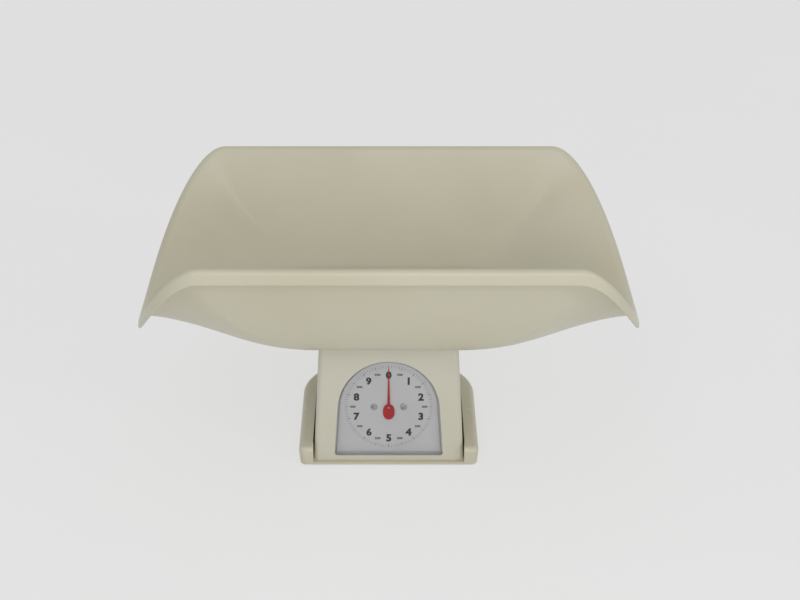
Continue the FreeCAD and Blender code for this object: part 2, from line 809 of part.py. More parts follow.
def guide_lever(z):
    """Fork-shaped lever: two arms joined by a web, drawn level and then tilted to its rest."""
    inner = lever_half - sheet
    half_bar = lever_bar / 2
    web_low = carriage_y + post_width
    arms = None
    for side in (-1, 1):
        low = min(side * lever_half, side * inner)
        plate = box(low, low + sheet, carriage_y, lever_pivot_y, z - half_bar, z + half_bar)
        ends = [rod((low, y, z), (1, 0, 0), half_bar, sheet) for y in (carriage_y, lever_pivot_y)]
        arm = plate.fuse(ends)
        arms = arm if arms is None else arms.fuse(arm)
    half_web = half_bar - lever_web_inset
    lever = arms.fuse(box(-inner, inner, web_low, web_low + sheet, z - half_web, z + half_web))
    lever = lever.cut(across(pin_radius + pin_clearance, 2 * lever_half, lever_pivot_y, z))
    lever = lever.cut(across(pin_radius + link_slot_clearance, 2 * lever_half, carriage_y, z))
    lever.rotate(Vector(0, lever_pivot_y, z), Vector(1, 0, 0), -lever_tilt)
    return lever


def pivot_pin(z):
    """Pin across the chassis that carries a lever, riveted over outside both uprights."""
    pin = across(pin_radius, chassis_half + pin_head, lever_pivot_y, z)
    for x in (-chassis_half - pin_head, chassis_half):
        pin = pin.fuse(rod((x, lever_pivot_y, z), (1, 0, 0), pin_radius + pin_head_step,
                           pin_head))
    return pin


def link_height(z):
    """Height at rest of the pin that joins a lever to the carriage."""
    return z + travel / 2


def link_pin(z, side):
    """Stub pin from a post of the carriage out into the lever's end."""
    start = post_x - post_thickness / 2
    head_x = lever_half + link_pin_gap
    pin = rod((start, carriage_y, link_height(z)), (1, 0, 0), pin_radius, head_x - start)
    head = rod((head_x, carriage_y, link_height(z)), (1, 0, 0), pin_radius + pin_head_step,
               pin_head)
    pin = pin.fuse(head)
    return pin if side > 0 else mirror_x(pin)


def carriage_frame():
    """Moving yoke: two posts, a strap for the rack and a sling below for the springs."""
    half = post_width / 2
    inner = post_x - post_thickness / 2
    outer = post_x + post_thickness / 2
    parts = []
    for low in (-outer, inner):
        parts.append(box(low, low + post_thickness, carriage_y - half, carriage_y + half,
                         carriage_low_z, platform_bottom))
    sling = box(-outer, outer, carriage_y - half, spring_y + sling_edge,
                carriage_low_z - sheet, carriage_low_z)
    sling = sling.cut(box(-sling_slot_half, sling_slot_half, carriage_y + half,
                          spring_y - sling_slot_edge, 0, 2 * carriage_low_z))
    strap = box(-outer, outer, strap_front, strap_front + post_thickness, strap_low_z,
                strap_high_z)
    frame = sling.fuse(parts + [strap])
    for z in (lower_lever_z, upper_lever_z):
        frame = frame.cut(across(pin_radius, outer + cut_margin, carriage_y, link_height(z)))
    for x in (-spring_x, spring_x):
        frame = frame.cut(rod((x, spring_y, 0), (0, 0, 1), spring_wire_radius + spring_hole_gap,
                              2 * carriage_low_z))
    for x in rivet_points():
        frame = frame.cut(rack_rivet(x))
    return frame


def platform_plate():
    """Steel plate under the tray, standing on the carriage's posts."""
    plate = box(-platform_half, platform_half, -platform_half_depth, platform_half_depth,
                platform_bottom, platform_top)
    corners = [edge for edge in plate.Edges if edge.BoundBox.ZLength > platform_sheet / 2]
    plate = plate.makeFillet(platform_corner_radius, corners)
    for x in (-tray_screw_x, tray_screw_x):
        for y in (-tray_screw_y, tray_screw_y):
            plate = plate.cut(tray_screw(x, y, 0))
    return plate


def tray_screw(x, y, clearance):
    """Flat-headed screw down through the tray's floor into the platform."""
    head = Part.makeCone(tray_screw_radius + clearance, tray_screw_head_radius + clearance,
                         tray_screw_head_radius - tray_screw_radius,
                         Vector(x, y, tray_floor_z - tray_screw_head_radius + tray_screw_radius))
    shank = rod((x, y, platform_bottom), (0, 0, 1), tray_screw_radius + clearance,
                platform_sheet + tray_wall - tray_screw_recess)
    return head.fuse(shank)


# --- springs and zero setting --------------------------------------------------------------------

def main_spring(x):
    """Tension spring: close coils as one ribbed tube, a straight wire and a bead at each end."""
    top = hanger_z - spring_end_gap
    low = carriage_low_z + spring_end_gap
    pitch = (top - low) / spring_rib_count
    outer = spring_coil_radius + spring_wire_radius
    valley = outer - spring_coil_groove
    ribs = [rod((x, spring_y, low + i * pitch), (0, 0, 1), outer, pitch / 2)
            for i in range(spring_rib_count)]
    bead_z = hanger_z + hanger_thickness + zero_travel + hole_clearance
    bottom = carriage_low_z - sheet - spring_hole_gap - spring_bead
    wire = rod((x, spring_y, bottom), (0, 0, 1), spring_wire_radius, bead_z - bottom)
    beads = [rod((x, spring_y, z), (0, 0, 1), spring_bead_radius, spring_bead)
             for z in (bottom, bead_z)]
    coil = rod((x, spring_y, low), (0, 0, 1), valley, top - low)
    return coil.fuse(ribs + [wire] + beads)


def spring_hanger():
    """Plate that both springs hang from; its tabs slide in the uprights, the screw lifts it."""
    top = hanger_z + hanger_thickness
    half = spring_x + hanger_edge
    tab_half = chassis_half - hanger_tab_gap
    body = box(-half, half, spring_y - hanger_front_edge, hanger_tab_y + hanger_tab, hanger_z, top)
    tongue = box(-hanger_edge, hanger_edge, spring_y, knob_y + hanger_front_edge, hanger_z, top)
    tabs = box(-tab_half, tab_half, hanger_tab_y, hanger_tab_y + hanger_tab, hanger_z, top)
    plate = body.fuse([tongue, tabs])
    low = hanger_z - cut_margin
    depth = hanger_thickness + 2 * cut_margin
    for x in (-spring_x, spring_x):
        plate = plate.cut(rod((x, spring_y, low), (0, 0, 1),
                              spring_wire_radius + spring_hole_gap, depth))
    return plate.cut(rod((0, knob_y, low), (0, 0, 1), zero_screw_radius + pin_clearance, depth))


def zero_screw():
    """Upright screw held by its collar under the bridge and by the knob above it."""
    low = hanger_z - zero_screw_tail
    shank = rod((0, knob_y, low), (0, 0, 1), zero_screw_radius, zero_knob_z - low)
    collar_z = chassis_top - sheet - zero_slack - zero_collar
    collar = rod((0, knob_y, collar_z), (0, 0, 1), zero_collar_radius, zero_collar)
    return shank.fuse(collar)


def zero_knob():
    """Knurled thumb wheel that shows through the slot at the back of the tower."""
    rim = []
    for i in range(2 * zero_knob_grooves):
        turn = pi * i / zero_knob_grooves
        radius = zero_knob_radius - zero_knob_groove_depth * (i % 2)
        rim.append(Vector(radius * cos(turn), knob_y + radius * sin(turn), zero_knob_z))
    return flat_face(rim).extrude(Vector(0, 0, zero_knob_height))


def pieces():
    """Every piece by name."""
    dial_screws = [dial_screw(x, 0) for x in (-dial_screw_spacing / 2, dial_screw_spacing / 2)]
    front_bush = dial_depth + dial_thickness
    levers_z = (lower_lever_z, upper_lever_z)
    return {
        "baby_tray": baby_tray(),
        "platform_plate": platform_plate(),
        "tray_screws": Part.makeCompound([tray_screw(x, y, 0)
                                          for x in (-tray_screw_x, tray_screw_x)
                                          for y in (-tray_screw_y, tray_screw_y)]),
        "carriage_frame": carriage_frame(),
        "carriage_pins": Part.makeCompound([link_pin(z, side) for z in levers_z
                                            for side in (-1, 1)]),
        "rack": rack(),
        "rack_rivets": Part.makeCompound([rack_rivet(x) for x in rivet_points()]),
        "upper_lever": guide_lever(upper_lever_z),
        "lower_lever": guide_lever(lower_lever_z),
        "lever_pivot_pins": Part.makeCompound([pivot_pin(z) for z in levers_z]),
        "main_springs": Part.makeCompound([main_spring(x) for x in (-spring_x, spring_x)]),
        "spring_hanger": spring_hanger(),
        "zero_screw": zero_screw(),
        "zero_knob": zero_knob(),
        "chassis_frame": chassis_frame(),
        "chassis_screws": Part.makeCompound([chassis_screw(x, y, 0)
                                             for x, y in chassis_screw_points()]),
        "movement_bracket": movement_bracket(),
        "bracket_screws": Part.makeCompound([bracket_screw(x)
                                             for x in (-bracket_screw_x, bracket_screw_x)]),
        "arbor_bushes": Part.makeCompound([arbor_bush(depth)
                                           for depth in (front_bush, bracket_rear_depth)]),
        "pointer_arbor": pointer_arbor(),
        "pinion": pinion(),
        "pointer": pointer(),
        "dial_plate": dial_plate(),
        "dial_screws": Part.makeCompound(dial_screws),
        "dial_lens": dial_lens(),
        "tower_casing": tower_casing(),
        "casing_screws": Part.makeCompound([casing_screw(x, y, 0) for x, y in boss_points()]),
        "base_tub": base_tub(),
        "rubber_feet": Part.makeCompound([rubber_foot(x, y) for x, y in foot_points()]),
    }


os.makedirs("parts", exist_ok=True)
for name, shape in pieces().items():
    shape.exportStep(f"parts/{name}.step")
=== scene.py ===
# %% [markdown]
# # A dial baby scale and how it is dressed
# The solid model gives every piece its place. This lesson puts the real finishes on those
# pieces and makes again, as smooth surfaces, the few whose shape or detail a solid model
# shows too coarsely: the tray, the clear cover, the pointer, the springs and the screws. It
# also prints the dial. Lengths are written in millimetres, and one factor turns them into
# metres.

# %% The frame
from math import atan2, cos, pi, radians, sin

import bmesh
import bpy
import numpy as np
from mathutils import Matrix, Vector


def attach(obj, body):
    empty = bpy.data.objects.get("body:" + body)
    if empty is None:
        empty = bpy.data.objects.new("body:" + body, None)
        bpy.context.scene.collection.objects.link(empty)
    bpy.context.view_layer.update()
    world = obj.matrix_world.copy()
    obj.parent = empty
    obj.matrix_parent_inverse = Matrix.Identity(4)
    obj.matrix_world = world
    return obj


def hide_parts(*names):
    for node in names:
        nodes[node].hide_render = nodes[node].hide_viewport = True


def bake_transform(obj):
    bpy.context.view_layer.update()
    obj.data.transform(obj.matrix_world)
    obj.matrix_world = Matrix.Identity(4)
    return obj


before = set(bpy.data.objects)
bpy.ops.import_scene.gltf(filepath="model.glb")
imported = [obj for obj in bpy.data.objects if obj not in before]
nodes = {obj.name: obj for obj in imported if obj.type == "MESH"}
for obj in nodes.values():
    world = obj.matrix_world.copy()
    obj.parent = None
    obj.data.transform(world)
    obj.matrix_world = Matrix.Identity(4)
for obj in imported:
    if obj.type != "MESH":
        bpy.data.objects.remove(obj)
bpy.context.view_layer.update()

# %% [markdown]
# ## From arrays to pieces
# A surface is worked out as a grid of points, as whole arrays. Neighbouring points are joined
# by four-sided faces, and a direction that comes round to its start is closed. The same helper
# then makes the mesh, turns its faces outwards, keeps real corners sharp and hangs the piece
# on the body that carries it. Doing this in one place keeps every piece at the origin with its
# place in its points, so a pattern on object coordinates never slides.

# %% Helpers for meshes
MM = 0.001


def grid_faces(rows, columns, close_rows=False, close_columns=False):
    """Four-sided faces between the neighbours of a grid of points.

    The points are numbered row by row; a closed direction repeats its first line at its end.
    """
    index = np.arange(rows * columns).reshape(rows, columns)
    if close_rows:
        index = np.vstack([index, index[:1]])
    if close_columns:
        index = np.hstack([index, index[:, :1]])
    corners = [index[:-1, :-1], index[1:, :-1], index[1:, 1:], index[:-1, 1:]]
    return np.stack(corners, axis=-1).reshape(-1, 4).tolist()


def make_mesh(name, points, faces):
    """Mesh from points in millimetres, with its doubles merged and its faces turned outwards."""
    merge_distance = 1e-6
    mesh = bpy.data.meshes.new(name)
    mesh.from_pydata((np.asarray(points, float).reshape(-1, 3) * MM).tolist(), [], faces)
    work = bmesh.new()
    work.from_mesh(mesh)
    bmesh.ops.remove_doubles(work, verts=work.verts, dist=merge_distance)
    bmesh.ops.recalc_face_normals(work, faces=work.faces)
    work.to_mesh(mesh)
    work.free()
    return mesh


def add_piece(mesh, body, paint, replaced=(), sharp=35.0):
    """Object of a finished mesh, smooth but for edges sharper than an angle.

    It rides on a body, or on none.
    """
    mesh.polygons.foreach_set("use_smooth", np.ones(len(mesh.polygons), bool))
    mesh.set_sharp_from_angle(angle=radians(sharp))
    mesh.materials.append(paint)
    piece = bpy.data.objects.new(mesh.name, mesh)
    bpy.context.scene.collection.objects.link(piece)
    if body:
        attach(piece, body)
    if replaced:
        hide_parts(*replaced)
    print(piece.name, len(mesh.polygons), "faces on", body or "two bodies")
    return piece


def join_parts(parts):
    """Points and faces of several closed shells as one pair of lists."""
    points, faces = [], []
    for part_points, part_faces in parts:
        start = len(points)
        points.extend(np.asarray(part_points, float).reshape(-1, 3).tolist())
        faces.extend([[start + i for i in face] for face in part_faces])
    return points, faces


print("a grid of 3 by 4 points has", len(grid_faces(3, 4)), "faces")

# %% [markdown]
# ## Writing a material as a sum
# A material is a small computer program made of boxes and wires. Written out box by box it is
# long and hard to read, so a wrapper lets Python's own signs stand for the Math boxes:
# `0.3 + 0.1 * grain` adds two of them. Colours go through Mix boxes instead, because a Math
# box would turn them grey.

# %% A value inside a material
class Wire:
    """One value inside a material; + - * on it add Math nodes."""

    def __init__(self, paint, socket):
        self.paint = paint
        self.socket = socket

    def math(self, operation, first, second):
        """One Math node of two values."""
        return self.paint.add("ShaderNodeMath", {"operation": operation}, {0: first, 1: second})

    def __add__(self, other):
        return self.math("ADD", self, other)

    __radd__ = __add__

    def __mul__(self, other):
        return self.math("MULTIPLY", self, other)

    __rmul__ = __mul__

    def __sub__(self, other):
        return self.math("SUBTRACT", self, other)

    def __rsub__(self, other):
        return self.math("SUBTRACT", other, self)


print("wrapper:", Wire.__name__, "turns + - * into Math nodes")

# %% [markdown]
# ## One material under construction
# Every finish needs the same few things: a place to measure from, clouds of a chosen size, a
# soft step between two values, a mix of two colours, a small relief and a closing line. Each
# is one method here, so a finish later reads as a short recipe.

# %% A material
class Paint:
    """A material, or a world, whose nodes are written one after the other."""

    def __init__(self, name, owner=None):
        self.owner = owner or bpy.data.materials.new(name)
        self.owner.use_nodes = True
        self.tree = self.owner.node_tree
        self.tree.nodes.clear()
        self.coordinates = None

    def add(self, kind, settings=None, inputs=None, output=0):
        """One node: its settings first, then the values or wires of its sockets."""
        node = self.tree.nodes.new(kind)
        for key, value in (settings or {}).items():
            setattr(node, key, value)
        for key, value in (inputs or {}).items():
            if isinstance(value, Wire):
                self.tree.links.new(value.socket, node.inputs[key])
            else:
                node.inputs[key].default_value = value
        return Wire(self, node.outputs[output]) if node.outputs else None

    def place(self):
        """Object coordinates, in metres."""
        if self.coordinates is None:
            self.coordinates = self.add("ShaderNodeTexCoord", output="Object")
        return self.coordinates

    def noise(self, scale, detail=3.0, roughness=0.5, stretch=None):
        """Cloudy value about 0.5; scale is in patches per metre, stretch multiplies each axis."""
        where = self.place()
        if stretch:
            where = self.add("ShaderNodeMapping", None, {"Vector": where, "Scale": stretch})
        return self.add("ShaderNodeTexNoise", None, {"Vector": where, "Scale": scale,
                                                    "Detail": detail, "Roughness": roughness},
                        "Fac")

    def between(self, value, low, high):
        """0 below a low value, 1 above a high one, with a smooth change between."""
        return self.add("ShaderNodeMapRange", {"interpolation_type": "SMOOTHSTEP"},
                        {"Value": value, "From Min": low, "From Max": high})

    def height(self):
        """Height above the ground, in metres."""
        return self.add("ShaderNodeSeparateXYZ", None, {0: self.place()}, "Z")

    def mix(self, factor, first, second):
        """Colour that goes from the first to the second with the factor."""
        # a Mix node keeps its colour sockets at 6 and 7, and its colour result at 2
        return self.add("ShaderNodeMix", {"data_type": "RGBA"}, {0: factor, 6: first, 7: second},
                        2)

    def bump(self, height, strength, distance, under=None):
        """Small relief from a height, in millimetres of depth."""
        inputs = {"Height": height, "Strength": strength, "Distance": distance * MM}
        if under is not None:
            inputs["Normal"] = under
        return self.add("ShaderNodeBump", None, inputs)

    def shade(self, inputs):
        """Surface shader with constants on its own sockets."""
        return self.add("ShaderNodeBsdfPrincipled", None, inputs)

    def done(self, surface):
        """Output node on a surface; gives the finished material back."""
        self.add("ShaderNodeOutputMaterial", None, {"Surface": surface})
        return self.owner


def colour(red, green, blue):
    """Colour from its three values as read on a screen, 0 to 255, made linear for the renderer."""
    levels = np.array([red, green, blue]) / 255
    linear = np.where(levels <= 0.04045, levels / 12.92, ((levels + 0.055) / 1.055) ** 2.4)
    return (*linear.tolist(), 1.0)


print("half grey on the screen is", round(colour(128, 128, 128)[0], 3), "for the renderer")

# %% [markdown]
# ## Ivory plastic
# Tray, tower and base are injection-moulded in the same ivory plastic. It is nearly even in
# colour, a touch yellower in clouds a hand wide, and its skin has a soft shine with a faint
# ripple and a very fine grain. Handling dulls it: thin, pale scuffs, hardly seen, run along the
# pieces, and the lowest centimetres carry a trace of dust. A flat colour with one roughness
# would look like unlit clay, so each of these is a noise of its own size. The tray is less
# shiny than the casings: on a mirror-like skin this wide, the edge of a lamp's reflection would
# look like a fold in the sheet.

# %% The ivory plastic
def ivory_plastic(name, fresh, aged, dullness, grime=0.05):
    """Fresh and aged ivory mixed by clouds; dullness is the least roughness.

    Scuffs are long clouds cut off near their tops, and dust falls from 1 on the ground to 0 at
    the dust line; grime is the share that it covers there.
    """
    dust_line = 0.03
    paint = Paint(name)
    clouds = paint.noise(7.0, 3.0)
    speckle = paint.noise(900.0, 2.0)
    body = paint.mix(paint.between(clouds, 0.35, 0.7), fresh, aged)
    dust = 1 - paint.between(paint.height(), 0.0, dust_line)
    scuff = paint.between(paint.noise(60.0, 6.0, 0.65, (1.0, 1.0, 7.0)), 0.62, 0.74)
    worn = paint.mix(scuff * 0.05, body, colour(222, 219, 206))
    dusty = paint.mix(dust * grime, worn, colour(150, 142, 122))
    ripple = paint.noise(26.0, 2.0)
    grain = paint.bump(speckle, 0.12, 0.05)
    skin = paint.bump(ripple, 0.06, 0.6, grain)
    rough = dullness + 0.06 * speckle + 0.10 * scuff + 0.12 * dust
    return paint.done(paint.shade({"Base Color": dusty, "Roughness": rough, "IOR": 1.5,
                                   "Specular IOR Level": 0.5, "Normal": skin}))


tray_ivory = ivory_plastic("tray_ivory", colour(211, 207, 185), colour(208, 202, 177), 0.30)
case_ivory = ivory_plastic("case_ivory", colour(211, 208, 192), colour(208, 204, 186), 0.20)
base_ivory = ivory_plastic("base_ivory", colour(212, 208, 187), colour(209, 203, 180), 0.22, 0.08)
print("plastics:", tray_ivory.name, case_ivory.name, base_ivory.name)

# %% [markdown]
# ## Clear plastic, dial coating and ink
# The window is a clear moulded cover. Light passes straight through its front and is caught
# by its rounded rim, so it is written as a mix: mostly see-through, with a glossy skin painted
# pale, a painted reflection whose share grows where the surface turns away. The dial is a white
# coated plate with a satin skin. Its large numbers are printed in black ink, its marks and small
# numbers in grey.

# %% Clear plastic
def clear_plastic():
    """See-through and a glossy skin painted pale as a painted reflection, mixed by how far the
    surface turns away from the eye.
    """
    paint = Paint("clear_plastic")
    facing = paint.add("ShaderNodeLayerWeight", None, {"Blend": 0.35}, "Facing")
    smear = paint.noise(55.0, 4.0, 0.6)
    see_through = paint.add("ShaderNodeBsdfTransparent", None,
                            {"Color": (0.955, 0.955, 0.965, 1.0)})
    # the skin's pale base colour is a painted reflection of the light that the rounded rim catches
    skin = paint.shade({"Base Color": (0.93, 0.93, 0.94, 1.0), "IOR": 1.49,
                        "Roughness": 0.05 + 0.10 * paint.between(smear, 0.45, 0.8)})
    # the painted reflection's share grows where the surface turns away from the eye
    share = 0.02 + 0.75 * paint.between(facing, 0.2, 0.5)
    surface = paint.add("ShaderNodeMixShader", None, {0: share, 1: see_through, 2: skin})
    return paint.done(surface)


window_clear = clear_plastic()
print("cover:", window_clear.name)

# %% Dial coating and ink
def dial_white():
    """Two near whites mixed by clouds, with a fine relief that also roughens it."""
    paint = Paint("dial_white")
    clouds = paint.noise(18.0, 3.0)
    coat = paint.mix(paint.between(clouds, 0.3, 0.7), colour(219, 219, 217),
                     colour(215, 215, 213))
    fine = paint.noise(2600.0, 2.0)
    relief = paint.bump(fine, 0.15, 0.02)
    return paint.done(paint.shade({"Base Color": coat, "Roughness": 0.42 + 0.1 * fine,
                                   "IOR": 1.5, "Normal": relief}))


def ink(name, deep, faded):
    """Deep ink that fades in specks where it was printed thin."""
    paint = Paint(name)
    thin = paint.between(paint.noise(1500.0, 4.0, 0.7), 0.45, 0.75)
    return paint.done(paint.shade({"Base Color": paint.mix(thin * 0.35, deep, faded),
                                   "Roughness": 0.45 + 0.1 * thin, "IOR": 1.45}))


dial_coat = dial_white()
black_ink = ink("black_ink", colour(28, 28, 32), colour(62, 62, 66))
grey_ink = ink("grey_ink", colour(84, 84, 88), colour(116, 116, 120))
print("dial:", dial_coat.name, black_ink.name, grey_ink.name)

# %% [markdown]
# ## Paint, rubber and metals
# The pointer is pressed from thin sheet and dipped in red paint, which pools a little. Its
# shine is kept low, because the clear cover in front already adds a pale veil. Feet are matt
# rubber, the thumb wheel is dark plastic worn pale in patches. Sheet steel shows rolling
# lines along its length, plated screws and brass show turning marks, and spring wire is
# darker. All the metals share one recipe: a metal colour, streaks along one direction in both
# colour and roughness, and a few dull spots.

# %% Red paint, rubber and dark plastic
def red_paint():
    """Two reds mixed by clouds, which are also a faint relief and the spread of roughness."""
    paint = Paint("red_paint")
    pool = paint.noise(160.0, 3.0)
    tone = paint.mix(paint.between(pool, 0.3, 0.7), colour(196, 16, 4), colour(180, 12, 4))
    return paint.done(paint.shade({"Base Color": tone, "Roughness": 0.32 + 0.12 * pool,
                                   "IOR": 1.5, "Specular IOR Level": 0.2,
                                   "Normal": paint.bump(pool, 0.15, 0.05)}))


def matt_filled(name, deep, pale, rough, grain_scale):
    """Dark rubber or plastic: worn patches show the pale tone, and a fine grain roughens it."""
    paint = Paint(name)
    grain = paint.noise(grain_scale, 4.0, 0.6)
    wear = paint.between(paint.noise(140.0, 5.0, 0.6), 0.5, 0.75)
    tone = paint.mix(wear * 0.5, deep, pale)
    return paint.done(paint.shade({"Base Color": tone, "Roughness": rough + 0.12 * grain,
                                   "IOR": 1.48, "Normal": paint.bump(grain, 0.35, 0.12)}))


pointer_red = red_paint()
foot_rubber = matt_filled("foot_rubber", colour(46, 45, 44), colour(84, 82, 78), 0.72, 1800.0)
wheel_plastic = matt_filled("wheel_plastic", colour(52, 52, 54), colour(96, 95, 92), 0.42, 2400.0)
print("paint and dark pieces:", pointer_red.name, foot_rubber.name, wheel_plastic.name)

# %% Metals
def drawn_metal(name, bright, dull, rough, streak):
    """Bright metal with dull lines and spots.

    The lines are clouds stretched along the axis whose streak factor is small.
    """
    paint = Paint(name)
    lines = paint.noise(420.0, 3.0, 0.6, streak)
    spots = paint.between(paint.noise(90.0, 4.0, 0.6), 0.55, 0.78)
    tone = paint.mix(paint.between(lines, 0.3, 0.72), bright, dull)
    tarnished = paint.mix(spots * 0.2, tone, dull)
    return paint.done(paint.shade({"Base Color": tarnished, "Metallic": 1.0,
                                   "Roughness": rough + 0.10 * lines + 0.08 * spots,
                                   "Normal": paint.bump(lines, 0.12, 0.03)}))


upright, turned, wound = (1.0, 1.0, 0.04), (1.0, 0.1, 1.0), (1.0, 1.0, 0.2)
sheet_steel = drawn_metal("sheet_steel", colour(200, 202, 204), colour(172, 174, 177), 0.36,
                          upright)
plated_steel = drawn_metal("plated_steel", colour(176, 177, 178), colour(128, 129, 131), 0.42,
                           turned)
spring_steel = drawn_metal("spring_steel", colour(128, 128, 130), colour(88, 88, 90), 0.3, wound)
brass = drawn_metal("brass", colour(201, 170, 96), colour(160, 126, 62), 0.24, turned)
print("materials:", len(bpy.data.materials))

# %% [markdown]
# ## The cradle tray
# The tray is one moulded sheet. Its floor is flat; from the floor's edge the wall leaves
# level, sweeps up and ends in a rim that rolls over and hangs down as a short skirt. Along the
# two long sides the wall climbs steeply and the rim is high, and at the two ends the wall
# stays low, so the baby's head and feet lie open. A section drawn in the rim's own direction
# is carried round the plan: the angle round an end is one parameter, the way along the
# section is the other. The solid model joins a few such sections with straight strips; here
# the same rule is worked out at many more, so the highlights run smoothly.

# %% The tray's sizes
TRAY = {
    "floor_z": 152.5, "wall": 3.0, "straight_half": 189.0, "end_reach": 74.0, "half_depth": 151.0,
    "fullness": 0.038, "rim_z": 278.2, "end_z": 160.0, "rise_power": 2.1,
    "floor_straight_half": 68.0, "floor_end_reach": 108.5, "floor_half_depth": 90.0,
    "skirt_angle": radians(-82.0), "corner_skirt_gain": 3.9,
}
# each pair is the value at the middle of an end and the value along a long side
TRAY_ENDS = {"wall_angle": (radians(-5.0), radians(72.0)), "floor_pull": (0.285, 0.22),
             "wall_pull": (0.125, 0.455), "roll": (11.5, 4.8), "skirt": (2.8, 10.0)}
UP = np.array([0.0, 0.0, 1.0])
print("tray:", 2 * (TRAY["straight_half"] + TRAY["end_reach"]), "mm along its crests")

# %% [markdown]
# ## One section of the tray
# A section is a pen's track: along the wall, over the roll, down the skirt, round the lower
# edge and back along the underside. The wall is a cubic curve held by four points, so that it
# leaves the floor level and meets the roll without a kink. The whole tray uses the same few
# sizes, and those that differ between an end and a side pass from one value to the other with
# a smooth step of the plan angle.

# %% The tray's sections
WALL_STEPS, ROLL_STEPS, SKIRT_STEPS, EDGE_STEPS = 29, 15, 4, 9


def tray_sections(angles, side):
    """Sections of the tray's sheet at plan angles (0 middle of an end, 90 the long side).

    A cubic Bezier curve from the floor's edge to the foot of the roll, an arc about the roll's
    centre, a straight skirt, a round lower edge, and the same way back a wall's thickness inside.
    """
    turn = np.radians(angles)[:, None]
    share = (np.abs(angles) / 90.0)[:, None]
    weight = share * share * (3 - 2 * share)
    local = {key: low + (high - low) * weight for key, (low, high) in TRAY_ENDS.items()}
    local["skirt"] = local["skirt"] + TRAY["corner_skirt_gain"] * 4 * weight * (1 - weight)
    x, y = side * np.cos(turn), np.sin(turn)
    nil = np.zeros_like(x)
    foot = np.hstack([side * TRAY["floor_straight_half"] + TRAY["floor_end_reach"] * x,
                      TRAY["floor_half_depth"] * y, nil + TRAY["floor_z"]])
    rise = np.abs(y) ** TRAY["rise_power"]
    full = 1 + TRAY["fullness"] * np.sin(2 * turn) ** 2
    crest = np.hstack([side * TRAY["straight_half"] + TRAY["end_reach"] * full * x,
                       TRAY["half_depth"] * full * y,
                       TRAY["end_z"] + (TRAY["rim_z"] - TRAY["end_z"]) * rise])
    outward = np.hstack([TRAY["half_depth"] * x, TRAY["end_reach"] * y, nil])
    outward /= np.linalg.norm(outward, axis=1, keepdims=True)
    run = (crest - foot) * (1, 1, 0)

    def heading(angle, length):
        """Step of a length, outwards and up by an angle."""
        return outward[:, None] * (length * np.cos(angle))[..., None] \
            + UP * (length * np.sin(angle))[..., None]

    def roll_point(angle, radius):
        """Point of the roll where the sheet heads along an angle; its centre is below the crest."""
        return crest[:, None] - outward[:, None] * (radius * np.sin(angle))[..., None] \
            + UP * (radius * np.cos(angle) - local["roll"])[..., None]

    def track(offset):
        """The pen's track, a distance below the upper face."""
        start = foot - UP * offset
        top = roll_point(local["wall_angle"], local["roll"] - offset)[:, 0]
        pull = np.linalg.norm(top - start, axis=1, keepdims=True) * local["wall_pull"]
        lead = start + run * local["floor_pull"]
        arrive = top - heading(local["wall_angle"], pull)[:, 0]
        t = np.linspace(0, 1, WALL_STEPS)[None, :, None]
        wall = (start[:, None] * (1 - t) ** 3 + lead[:, None] * 3 * t * (1 - t) ** 2
                + arrive[:, None] * 3 * t * t * (1 - t) + top[:, None] * t ** 3)
        over = np.linspace(0, 1, ROLL_STEPS)[None, 1:]
        bend = local["wall_angle"] + (TRAY["skirt_angle"] - local["wall_angle"]) * over
        roll = roll_point(bend, local["roll"] - offset + 0 * bend)
        down = np.linspace(0, 1, SKIRT_STEPS)[None, 1:] * local["skirt"]
        skirt = roll[:, -1:] + heading(TRAY["skirt_angle"] + 0 * down, down)
        return np.concatenate([wall, roll, skirt], axis=1)

    upper, lower = track(0.0), track(TRAY["wall"])
    middle = (upper[:, -1:] + lower[:, -1:]) / 2
    across = (upper[:, -1:] - lower[:, -1:]) / 2
    along = heading(TRAY["skirt_angle"] + nil, nil + TRAY["wall"] / 2)
    arc = np.linspace(0, pi, EDGE_STEPS)[None, 1:-1, None]
    edge = middle + across * np.cos(arc) + along * np.sin(arc)
    return np.concatenate([upper, edge, lower[:, ::-1]], axis=1)


print("points in a section:", tray_sections(np.array([0.0]), 1).shape[1])

# %% [markdown]
# ## The tray as one closed shell
# Sections stand close together where the plan turns sharply, near the long sides, and wider
# apart round the middle of an end. They are joined into one ring-shaped sheet. The floor is
# left open by it on both faces, and so are four countersunk holes for the screws. Filling each
# flat face between the ring and the holes' edges closes the shell.

# %% The tray's shell
TRAY_SCREWS = [(x, y) for x in (-50.0, 50.0) for y in (-30.0, 30.0)]


def tray_hole(x, y):
    """Wall of a countersunk hole: circles of a sink's and a shank's radius at three heights."""
    sink, shank, sink_depth = 4.1, 2.1, 2.0
    floor = TRAY["floor_z"]
    turn = np.arange(24) * 2 * pi / 24
    grid = np.stack([np.column_stack([x + radius * np.cos(turn), y + radius * np.sin(turn),
                                      np.full(len(turn), z)])
                     for radius, z in ((sink, floor), (shank, floor - sink_depth),
                                       (shank, floor - TRAY["wall"]))])
    return grid, grid_faces(*grid.shape[:2], close_columns=True)


